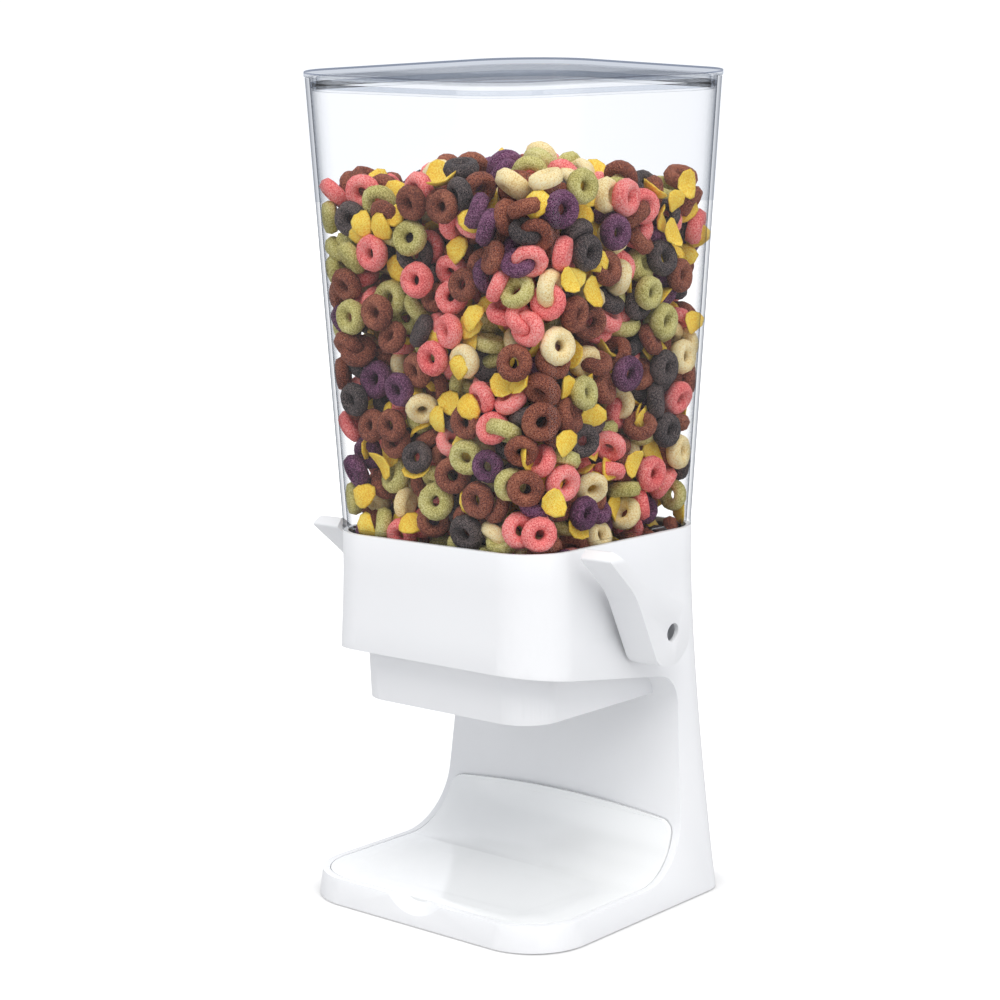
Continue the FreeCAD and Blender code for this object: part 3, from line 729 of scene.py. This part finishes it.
# ---- Lid gasket ----
# Clear silicone band stretched round the plug. It seals the lid to the hopper's wall.
gasket_low, gasket_top, gasket_thickness, gasket_corner = 392.2, 394.8, 0.8, 45.1
gasket = ring_solid(
    "lid_ring",
    [
        (plug_out + gasket_thickness, gasket_corner, gasket_low),
        (plug_out + gasket_thickness, gasket_corner, gasket_top),
        (plug_out, rim_corner, gasket_top),
        (plug_out, rim_corner, gasket_low),
    ],
    0.25,
)
paint(gasket, silicone)
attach(gasket, "lid")
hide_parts("lid_gasket")


# ---- Cereal ----
# Loose baked cereal: puffed rings in six colours and thin curled yellow flakes, poured in
# and heaped a little in the middle. It lies loose in the hopper and the funnel.

# each piece stands for eight balls on a circle, and the balls of different pieces push each
# other and the walls apart until the pile holds still; lengths in mm
chance = np.random.default_rng(7)
total = 1990
flake_share = 0.28
beads = 8
is_flake = chance.random(total) < flake_share
bead_circle = np.where(is_flake, 4.4, 5.2)
bead_radius = np.where(is_flake, 1.6, 3.35)
scale = chance.normal(1.0, 0.045, total).clip(0.88, 1.12)

level_z = np.array([147.5, 171.0, 183.0, 184.0, 397.0])
room_half_x = np.array([45.5, 61.4, 61.9, 64.7, 77.8])
room_low_y = np.array([-48.5, -61.4, -61.9, -64.7, -77.8])
room_high_y = np.array([-4.0, 61.4, 61.9, 64.7, 77.8])
room_radius = np.array([8.0, 19.0, 19.5, 22.0, 32.5])
room_floor = 149.5
start_gap = 4


def heap_height(x, y):
    """Height of the heap's top over a place in the hopper."""
    away = np.hypot(x - 4, y + 6)
    bumps = 3.0 * np.sin(x * 0.11 + 1.0) * np.cos(y * 0.13)
    return 348.0 + 15.0 * np.exp(-((away / 46.0) ** 2)) + bumps


centres = np.empty((0, 3))
while len(centres) < total:
    trial = chance.random((4000, 3)) * np.array([156, 156, 212]) + np.array([-78, -78, 150])
    inside = np.abs(trial[:, 0]) < np.interp(trial[:, 2], level_z, room_half_x) - start_gap
    inside &= trial[:, 2] < heap_height(trial[:, 0], trial[:, 1]) - start_gap
    inside &= trial[:, 1] > np.interp(trial[:, 2], level_z, room_low_y) + start_gap
    inside &= trial[:, 1] < np.interp(trial[:, 2], level_z, room_high_y) - start_gap
    centres = np.vstack([centres, trial[inside]])
centres = centres[:total]


def unit(v):
    """Each row of v at length one."""
    return v / np.maximum(np.linalg.norm(v, axis=-1, keepdims=True), 1e-9)


# each piece starts with its own axis, and most of those at a wall face it
axis_z = unit(chance.normal(size=(total, 3)))
wall_x = np.interp(centres[:, 2], level_z, room_half_x) - np.abs(centres[:, 0])
wall_y = np.interp(centres[:, 2], level_z, room_high_y) - np.abs(centres[:, 1])
facing_wall = (np.minimum(wall_x, wall_y) < 12) & (centres[:, 2] > 180)
facing_wall &= chance.random(total) < np.where(is_flake, 0.85, 0.6)
wall_axis = np.where((wall_x < wall_y)[:, None], np.array([1.0, 0, 0]), np.array([0, 1.0, 0]))
axis_z = np.where(facing_wall[:, None], unit(wall_axis + 0.28 * axis_z), axis_z)
axis_x = unit(np.cross(axis_z, chance.normal(size=(total, 3))))
axis_y = np.cross(axis_z, axis_x)
bead_turn = np.arange(beads) * 2 * math.pi / beads

steps, steps_between_searches = 150, 6
cell_size, search_reach = 9.0, 11.0
eagerness = 1.3
most_turn = 0.3
for step in range(steps):
    arm = (
        np.cos(bead_turn)[None, :, None] * axis_x[:, None, :]
        + np.sin(bead_turn)[None, :, None] * axis_y[:, None, :]
    ) * (bead_circle * scale)[:, None, None]
    balls = centres[:, None, :] + arm
    flat = balls.reshape(-1, 3)
    radius = np.repeat(bead_radius * scale, beads)
    owner = np.repeat(np.arange(total), beads)
    if step % steps_between_searches == 0:
        # pairs of near balls, by sorting them into cells
        cell = np.floor(flat / cell_size).astype(np.int64) + 64
        code = (cell[:, 0] << 24) + (cell[:, 1] << 12) + cell[:, 2]
        order = np.argsort(code, kind="stable")
        ranked = code[order]
        first, second = [], []
        for dx in (-1, 0, 1):
            for dy in (-1, 0, 1):
                for dz in (-1, 0, 1):
                    wanted = code + (dx << 24) + (dy << 12) + dz
                    start = np.searchsorted(ranked, wanted, "left")
                    stop = np.searchsorted(ranked, wanted, "right")
                    many = stop - start
                    mine = np.repeat(np.arange(len(flat)), many)
                    offset = np.arange(many.sum()) - np.repeat(np.cumsum(many) - many, many)
                    other = order[np.repeat(start, many) + offset]
                    keep = (mine < other) & (owner[mine] != owner[other])
                    gap = flat[mine[keep]] - flat[other[keep]]
                    near = (gap ** 2).sum(axis=1) < search_reach ** 2
                    first.append(mine[keep][near])
                    second.append(other[keep][near])
        first = np.concatenate(first)
        second = np.concatenate(second)
    apart = flat[first] - flat[second]
    distance = np.maximum(np.linalg.norm(apart, axis=1), 1e-6)
    push = np.maximum(radius[first] + radius[second] - distance, 0) * 0.5
    shove = apart / distance[:, None] * push[:, None]
    moved = np.zeros_like(flat)
    hits = np.ones(len(flat))
    for k in range(3):
        moved[:, k] += np.bincount(first, shove[:, k], len(flat))
        moved[:, k] -= np.bincount(second, shove[:, k], len(flat))
    hits += np.bincount(first[push > 0], minlength=len(flat))
    hits += np.bincount(second[push > 0], minlength=len(flat))
    moved = moved / np.sqrt(hits)[:, None] * eagerness
    # walls: a rounded rectangle that changes with height
    half_x = np.interp(flat[:, 2], level_z, room_half_x)
    low_y = np.interp(flat[:, 2], level_z, room_low_y)
    high_y = np.interp(flat[:, 2], level_z, room_high_y)
    corner = np.interp(flat[:, 2], level_z, room_radius)
    mid_y = (low_y + high_y) / 2
    reach_x = np.abs(flat[:, 0]) - (half_x - corner)
    reach_y = np.abs(flat[:, 1] - mid_y) - ((high_y - low_y) / 2 - corner)
    round_corner = np.hypot(np.maximum(reach_x, 0), np.maximum(reach_y, 0))
    straight_side = np.minimum(np.maximum(reach_x, reach_y), 0)
    out = np.maximum(round_corner + straight_side - corner + radius, 0)
    toward = unit(np.stack([
        np.sign(flat[:, 0]) * np.maximum(reach_x, 1e-4),
        np.sign(flat[:, 1] - mid_y) * np.maximum(reach_y, 1e-4),
        np.zeros(len(flat)),
    ], axis=1))
    moved -= toward * out[:, None]
    moved[:, 2] += np.maximum(room_floor + radius - flat[:, 2], 0)
    over = np.maximum(flat[:, 2] + radius - heap_height(flat[:, 0], flat[:, 1]) - start_gap, 0)
    moved[:, 2] -= over * 0.5
    moved = moved.reshape(total, beads, 3)
    centres = centres + moved.mean(axis=1)
    twist = np.cross(arm, moved).sum(axis=1) / (arm ** 2).sum(axis=(1, 2))[:, None]
    twist = twist.clip(-most_turn, most_turn)
    axis_z = unit(axis_z + np.cross(twist, axis_z))
    axis_x = axis_x + np.cross(twist, axis_x)
    axis_x = unit(axis_x - (axis_x * axis_z).sum(axis=1, keepdims=True) * axis_z)
    axis_y = np.cross(axis_z, axis_x)

turns = np.array([
    Matrix((axis_x[i], axis_y[i], axis_z[i])).transposed().to_euler("XYZ")[:]
    for i in range(total)
])

# baked_grain: fine sugary grain on slow patches
baked, baked_in, baked_out = new_group(
    "baked_grain",
    [("Patchiness", "NodeSocketFloat", 0.35)],
    [("Tone", "NodeSocketFloat"), ("Height", "NodeSocketFloat")],
)
place = baked.nodes.new("ShaderNodeTexCoord")
grain = baked.nodes.new("ShaderNodeTexNoise")
grain.inputs["Scale"].default_value = 1500.0
grain.inputs["Detail"].default_value = 4.0
patch = baked.nodes.new("ShaderNodeTexNoise")
patch.inputs["Scale"].default_value = 60.0
patch.inputs["Detail"].default_value = 2.0
centred = baked.nodes.new("ShaderNodeMath")
centred.operation = "SUBTRACT"
centred.inputs[1].default_value = 0.5
mixed = baked.nodes.new("ShaderNodeMath")
mixed.operation = "MULTIPLY_ADD"
baked.links.new(place.outputs["Object"], grain.inputs["Vector"])
baked.links.new(place.outputs["Object"], patch.inputs["Vector"])
baked.links.new(patch.outputs["Fac"], centred.inputs[0])
baked.links.new(centred.outputs[0], mixed.inputs[0])
baked.links.new(baked_in.outputs["Patchiness"], mixed.inputs[1])
baked.links.new(grain.outputs["Fac"], mixed.inputs[2])
baked.links.new(mixed.outputs[0], baked_out.inputs["Tone"])
baked.links.new(grain.outputs["Fac"], baked_out.inputs["Height"])


def grain_material(name, colour, dark, light, rough):
    """Baked cereal: dark pits and pale dust in the piece's own colour."""
    material = bpy.data.materials.new(name)
    material.use_nodes = True
    tree = material.node_tree
    shader = tree.nodes["Principled BSDF"]
    surface = tree.nodes.new("ShaderNodeGroup")
    surface.node_tree = baked
    ramp = tree.nodes.new("ShaderNodeValToRGB")
    ramp.color_ramp.elements[0].position = 0.36
    ramp.color_ramp.elements[0].color = (*dark, 1)
    ramp.color_ramp.elements[1].position = 0.66
    ramp.color_ramp.elements[1].color = (*light, 1)
    middle = ramp.color_ramp.elements.new(0.49)
    middle.color = (*colour, 1)
    bump = tree.nodes.new("ShaderNodeBump")
    bump.inputs["Strength"].default_value = 0.7
    bump.inputs["Distance"].default_value = 0.0006
    tree.links.new(surface.outputs["Tone"], ramp.inputs["Fac"])
    tree.links.new(ramp.outputs["Color"], shader.inputs["Base Color"])
    tree.links.new(surface.outputs["Height"], bump.inputs["Height"])
    tree.links.new(bump.outputs["Normal"], shader.inputs["Normal"])
    shader.inputs["Roughness"].default_value = rough
    return material


def cereal_tree(name, flake):
    """Geometry nodes: one ring or flake on every point, turned and sized, with uneven skin."""
    group = bpy.data.node_groups.new(name, "GeometryNodeTree")
    link = group.links.new
    face = group.interface
    face.new_socket("Geometry", in_out="INPUT", socket_type="NodeSocketGeometry")
    sizes = (("Radius", 0.0054), ("Body", 0.0031), ("Thickness", 1.2), ("Lumps", 0.0007))
    for label, value in sizes:
        socket = face.new_socket(label, in_out="INPUT", socket_type="NodeSocketFloat")
        socket.default_value = value
    face.new_socket("Material", in_out="INPUT", socket_type="NodeSocketMaterial")
    face.new_socket("Geometry", in_out="OUTPUT", socket_type="NodeSocketGeometry")
    node = group.nodes.new
    entry = node("NodeGroupInput")
    leave = node("NodeGroupOutput")
    if flake:
        ball = node("GeometryNodeMeshUVSphere")
        ball.inputs["Segments"].default_value = 10
        ball.inputs["Rings"].default_value = 6
        link(entry.outputs["Radius"], ball.inputs["Radius"])
        shaped = node("GeometryNodeTransform")
        shaped.inputs["Scale"].default_value = (1.0, 0.78, 0.14)
        link(ball.outputs["Mesh"], shaped.inputs["Geometry"])
        where = node("GeometryNodeInputPosition")
        split = node("ShaderNodeSeparateXYZ")
        square = node("ShaderNodeMath")
        square.operation = "MULTIPLY"
        bend = node("ShaderNodeMath")
        bend.operation = "MULTIPLY"
        bend.inputs[1].default_value = 55.0
        lift = node("ShaderNodeCombineXYZ")
        curl = node("GeometryNodeSetPosition")
        link(where.outputs[0], split.inputs[0])
        link(split.outputs["X"], square.inputs[0])
        link(split.outputs["X"], square.inputs[1])
        link(square.outputs[0], bend.inputs[0])
        link(bend.outputs[0], lift.inputs["Z"])
        link(shaped.outputs[0], curl.inputs["Geometry"])
        link(lift.outputs[0], curl.inputs["Offset"])
        body = curl.outputs["Geometry"]
    else:
        path = node("GeometryNodeCurvePrimitiveCircle")
        path.inputs["Resolution"].default_value = 14
        tube = node("GeometryNodeCurvePrimitiveCircle")
        tube.inputs["Resolution"].default_value = 7
        sweep = node("GeometryNodeCurveToMesh")
        shaped = node("GeometryNodeTransform")
        stretch = node("ShaderNodeCombineXYZ")
        stretch.inputs["X"].default_value = 1.0
        stretch.inputs["Y"].default_value = 1.0
        link(entry.outputs["Radius"], path.inputs["Radius"])
        link(entry.outputs["Body"], tube.inputs["Radius"])
        link(path.outputs["Curve"], sweep.inputs["Curve"])
        link(tube.outputs["Curve"], sweep.inputs["Profile Curve"])
        link(sweep.outputs["Mesh"], shaped.inputs["Geometry"])
        link(entry.outputs["Thickness"], stretch.inputs["Z"])
        link(stretch.outputs[0], shaped.inputs["Scale"])
        body = shaped.outputs["Geometry"]
    turn = node("GeometryNodeInputNamedAttribute")
    turn.data_type = "FLOAT_VECTOR"
    turn.inputs["Name"].default_value = "turn"
    grow = node("GeometryNodeInputNamedAttribute")
    grow.data_type = "FLOAT"
    grow.inputs["Name"].default_value = "grow"
    spread = node("GeometryNodeInstanceOnPoints")
    to_turn = node("FunctionNodeEulerToRotation")
    link(entry.outputs["Geometry"], spread.inputs["Points"])
    link(body, spread.inputs["Instance"])
    link(turn.outputs["Attribute"], to_turn.inputs[0])
    link(to_turn.outputs[0], spread.inputs["Rotation"])
    link(grow.outputs["Attribute"], spread.inputs["Scale"])
    real = node("GeometryNodeRealizeInstances")
    lumps = node("ShaderNodeTexNoise")
    lumps.inputs["Scale"].default_value = 160.0
    lumps.inputs["Detail"].default_value = 2.0
    centred = node("ShaderNodeVectorMath")
    centred.operation = "SUBTRACT"
    centred.inputs[1].default_value = (0.5, 0.5, 0.5)
    sized = node("ShaderNodeVectorMath")
    sized.operation = "SCALE"
    shift = node("GeometryNodeSetPosition")
    soft = node("GeometryNodeSetShadeSmooth")
    coat = node("GeometryNodeSetMaterial")
    link(spread.outputs["Instances"], real.inputs["Geometry"])
    link(lumps.outputs["Color"], centred.inputs[0])
    link(centred.outputs[0], sized.inputs[0])
    link(entry.outputs["Lumps"], sized.inputs["Scale"])
    link(real.outputs["Geometry"], shift.inputs["Geometry"])
    link(sized.outputs[0], shift.inputs["Offset"])
    link(shift.outputs["Geometry"], soft.inputs[0])
    link(soft.outputs[0], coat.inputs["Geometry"])
    link(entry.outputs["Material"], coat.inputs["Material"])
    link(coat.outputs["Geometry"], leave.inputs["Geometry"])
    return group


ring_nodes = cereal_tree("cereal_ring", False)
flake_nodes = cereal_tree("cereal_flake", True)


def scatter(name, chosen, tree, material, settings):
    """One mesh of all the chosen pieces, each where the pile left it."""
    points = bpy.data.meshes.new(name)
    points.from_pydata([tuple(c / 1000) for c in centres[chosen]], [], [])
    turn = points.attributes.new("turn", "FLOAT_VECTOR", "POINT")
    turn.data.foreach_set("vector", turns[chosen].astype(np.float32).ravel())
    grow = points.attributes.new("grow", "FLOAT", "POINT")
    grow.data.foreach_set("value", scale[chosen].astype(np.float32))
    piece = bpy.data.objects.new(name, points)
    bpy.context.scene.collection.objects.link(piece)
    modifier = piece.modifiers.new("scatter", "NODES")
    modifier.node_group = tree
    sockets = {s.name: s.identifier for s in tree.interface.items_tree if s.in_out == "INPUT"}
    for label, value in settings.items():
        modifier[sockets[label]] = value
    modifier[sockets["Material"]] = material
    graph = bpy.context.evaluated_depsgraph_get()
    mesh = bpy.data.meshes.new_from_object(piece.evaluated_get(graph))
    piece.modifiers.clear()
    piece.data = mesh
    mesh.name = name
    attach(piece, "hopper")
    return piece


# name, share of the rings, body, pits, dust
colours = [
    ("pink", 0.22, (0.95, 0.21, 0.20), (0.70, 0.09, 0.09), (0.98, 0.44, 0.40)),
    ("brown", 0.27, (0.22, 0.052, 0.026), (0.09, 0.020, 0.012), (0.42, 0.15, 0.08)),
    ("charcoal", 0.12, (0.045, 0.032, 0.033), (0.012, 0.010, 0.012), (0.16, 0.12, 0.11)),
    ("purple", 0.10, (0.11, 0.024, 0.080), (0.035, 0.010, 0.030), (0.28, 0.12, 0.22)),
    ("green", 0.17, (0.56, 0.50, 0.15), (0.32, 0.27, 0.06), (0.74, 0.69, 0.33)),
    ("cream", 0.12, (0.95, 0.77, 0.38), (0.78, 0.54, 0.22), (0.99, 0.89, 0.60)),
]
pick = chance.random(total)
picked_below = 0.0
for label, share, colour, dark, light in colours:
    chosen = np.flatnonzero(~is_flake & (pick >= picked_below) & (pick < picked_below + share))
    picked_below += share
    ring_material = grain_material("cereal_" + label, colour, dark, light, 0.85)
    rings = scatter("cereal_rings_" + label, chosen, ring_nodes, ring_material, {})
    if label == "pink":
        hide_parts("cereal_fill")
flake_material = grain_material(
    "cereal_yellow", (0.97, 0.66, 0.05), (0.88, 0.48, 0.02), (0.99, 0.80, 0.17), 0.6
)
flakes = np.flatnonzero(is_flake)
flake_sizes = {"Radius": 0.0074, "Lumps": 0.0018}
scatter("cereal_flakes_yellow", flakes, flake_nodes, flake_material, flake_sizes)
